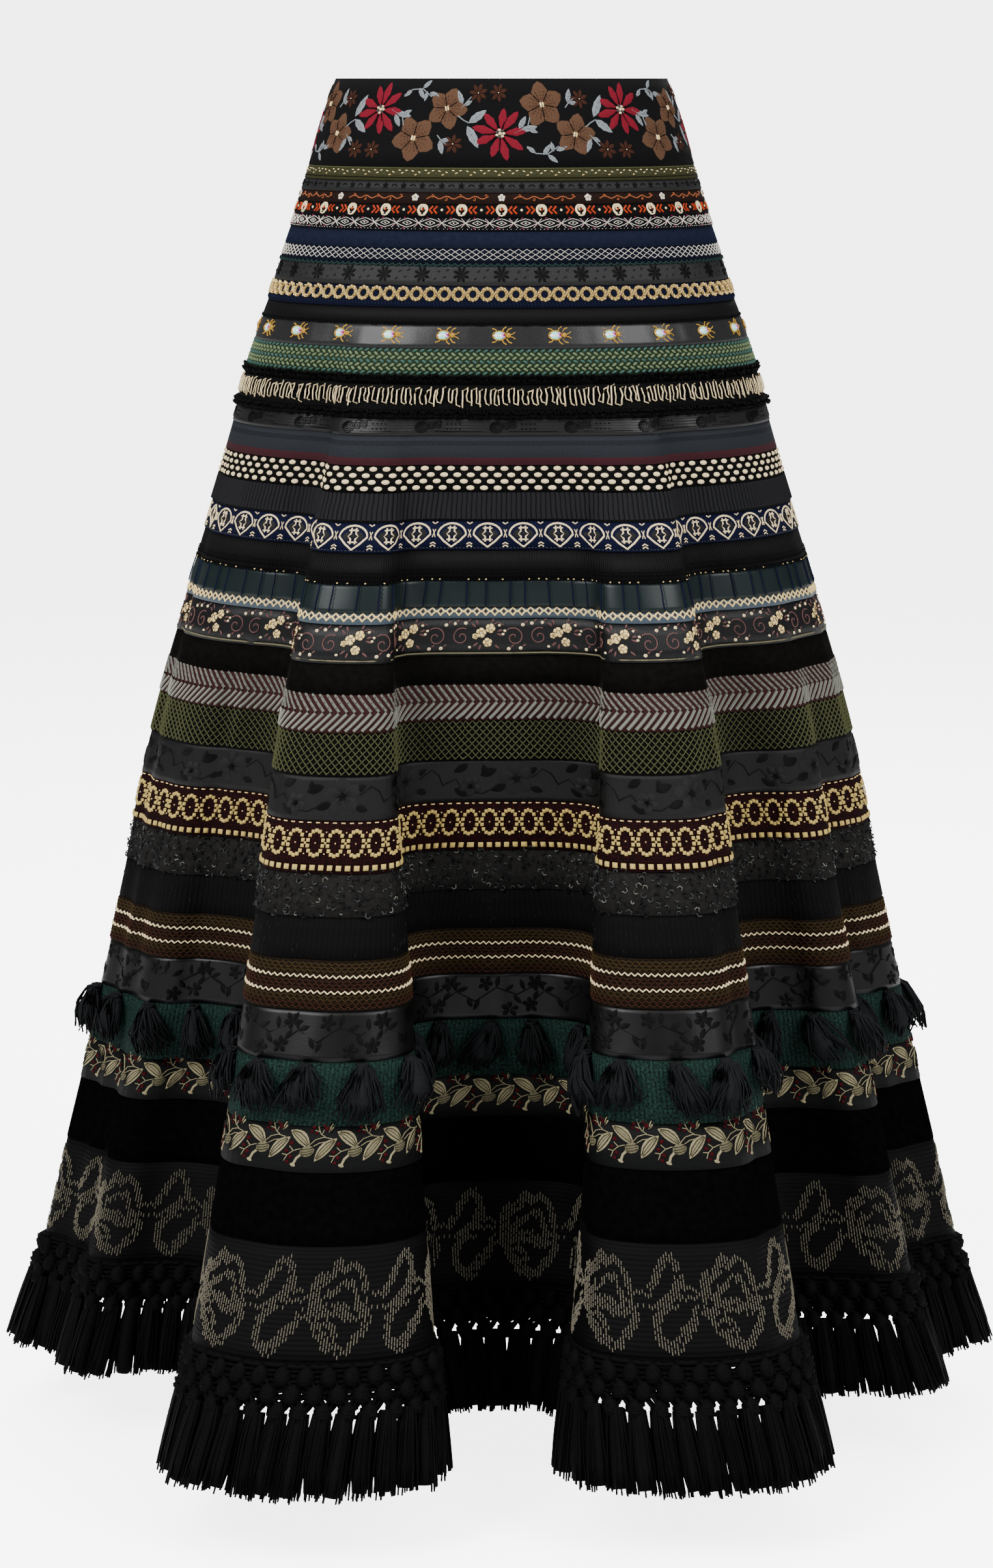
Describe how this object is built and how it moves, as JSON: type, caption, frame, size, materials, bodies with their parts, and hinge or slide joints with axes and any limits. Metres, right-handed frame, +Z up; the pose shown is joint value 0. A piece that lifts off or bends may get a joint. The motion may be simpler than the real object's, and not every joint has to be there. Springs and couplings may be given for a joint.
{
  "type": "ribbon skirt",
  "caption": "Long flared skirt of patterned ribbon rings sewn edge to edge, with a jacquard waistband, deep folds and a knotted, fringed hem, hollow and open at waist and hem.",
  "frame": {"origin": "centre of the waist opening, at the top edge of the waistband, where the wearer holds the skirt", "axes": "+Z up, along the skirt from hem to waist; -Y towards the front; +X to the right of someone who faces the front"},
  "size_m": [0.7296, 0.6006, 0.9671],
  "materials": {
    "waistband": "black jacquard twill with red, brown and silver-grey woven flowers",
    "ribbon_olive_dash": "olive woven ribbon with cream dashes",
    "ribbon_charcoal_tonal": "charcoal tonal woven ribbon",
    "ribbon_small_blossom": "dark brown woven ribbon with small white flowers",
    "ribbon_rose_and_leaf": "black woven ribbon with orange leaves and cream roses",
    "ribbon_lens_pattern": "black and white woven ribbon with pink accents",
    "velvet_navy_narrow": "navy velvet ribbon",
    "ribbon_diamond_net": "navy ribbon with a white diamond net and slate picot edge",
    "jacquard_charcoal": "charcoal tonal jacquard",
    "braid_gold_chain": "navy ribbon with a matt gold chain braid",
    "grosgrain_black": "black grosgrain with a picot edge",
    "satin_insects": "puckered charcoal satin with embroidered insects",
    "braid_sage": "sage green woven braid",
    "trim_loop_ladder": "black looped trim with cream ladder stitches",
    "satin_wavy_rose": "charcoal satin with tonal roses",
    "ribbon_heather_stripe": "grey heather, black and burgundy stripes",
    "ribbon_oval_stitch": "black ribbon with cream oval stitches",
    "ribbon_fine_pleat": "black ribbon in fine upright pleats",
    "ribbon_star_oval": "navy ribbon with cream and grey star ovals",
    "ribbon_rib_picot": "black fine rib with gold dots and picots",
    "satin_teal_zigzag": "dark teal satin with stitched zigzags",
    "braid_gold_diamond": "gold diamond braid on blue-grey satin",
    "satin_cream_rose": "black satin with cream roses and mauve scrolls",
    "velvet_black_middle": "black velvet ribbon",
    "ribbon_herringbone": "maroon-brown ribbon with cream-grey herringbone",
    "ribbon_olive_diamond": "olive diamond net over black",
    "jacquard_slate_flower": "charcoal jacquard with slate flowers",
    "tweed_maroon_chain": "maroon tweed with a pale yellow chain of ovals",
    "boucle_grey": "black and grey boucle",
    "crepe_black": "black slub crepe",
    "knit_gold_zigzag": "brown and gold zigzag knit with cream wavy lines",
    "satin_dark_twig": "charcoal satin with black tonal twigs",
    "tweed_green": "dark green tweed",
    "ribbon_leaf_garland": "black ribbon with a cream leaf garland and burgundy berries",
    "velvet_black_lower": "black velvet",
    "net_metallic_rose": "black ribbed net with metallic grey-gold roses",
    "fringe_black": "matt black twisted yarn"
  },
  "bodies": {
    "root": {"waistband": "waistband", "ribbon_olive_dash": "ribbon_olive_dash", "ribbon_charcoal_tonal": "ribbon_charcoal_tonal", "ribbon_small_blossom": "ribbon_small_blossom", "ribbon_rose_and_leaf": "ribbon_rose_and_leaf", "ribbon_lens_pattern": "ribbon_lens_pattern", "velvet_navy_narrow": "velvet_navy_narrow", "ribbon_diamond_net": "ribbon_diamond_net", "jacquard_charcoal": "jacquard_charcoal", "braid_gold_chain": "braid_gold_chain", "grosgrain_black": "grosgrain_black", "satin_insects": "satin_insects", "braid_sage": "braid_sage", "trim_loop_ladder": "trim_loop_ladder", "satin_wavy_rose": "satin_wavy_rose", "ribbon_heather_stripe": "ribbon_heather_stripe", "ribbon_oval_stitch": "ribbon_oval_stitch", "ribbon_fine_pleat": "ribbon_fine_pleat", "ribbon_star_oval": "ribbon_star_oval", "ribbon_rib_picot": "ribbon_rib_picot", "satin_teal_zigzag": "satin_teal_zigzag", "braid_gold_diamond": "braid_gold_diamond", "satin_cream_rose": "satin_cream_rose", "velvet_black_middle": "velvet_black_middle", "ribbon_herringbone": "ribbon_herringbone", "ribbon_olive_diamond": "ribbon_olive_diamond", "jacquard_slate_flower": "jacquard_slate_flower", "tweed_maroon_chain": "tweed_maroon_chain", "boucle_grey": "boucle_grey", "crepe_black": "crepe_black", "knit_gold_zigzag": "knit_gold_zigzag", "satin_dark_twig": "satin_dark_twig", "tweed_green": "tweed_green", "ribbon_leaf_garland": "ribbon_leaf_garland", "velvet_black_lower": "velvet_black_lower", "net_metallic_rose": "net_metallic_rose", "tassel_trim": "fringe_black", "macrame_front": "fringe_black", "macrame_back": "fringe_black", "hem_fringe": "fringe_black"}
  },
  "joints": []
}
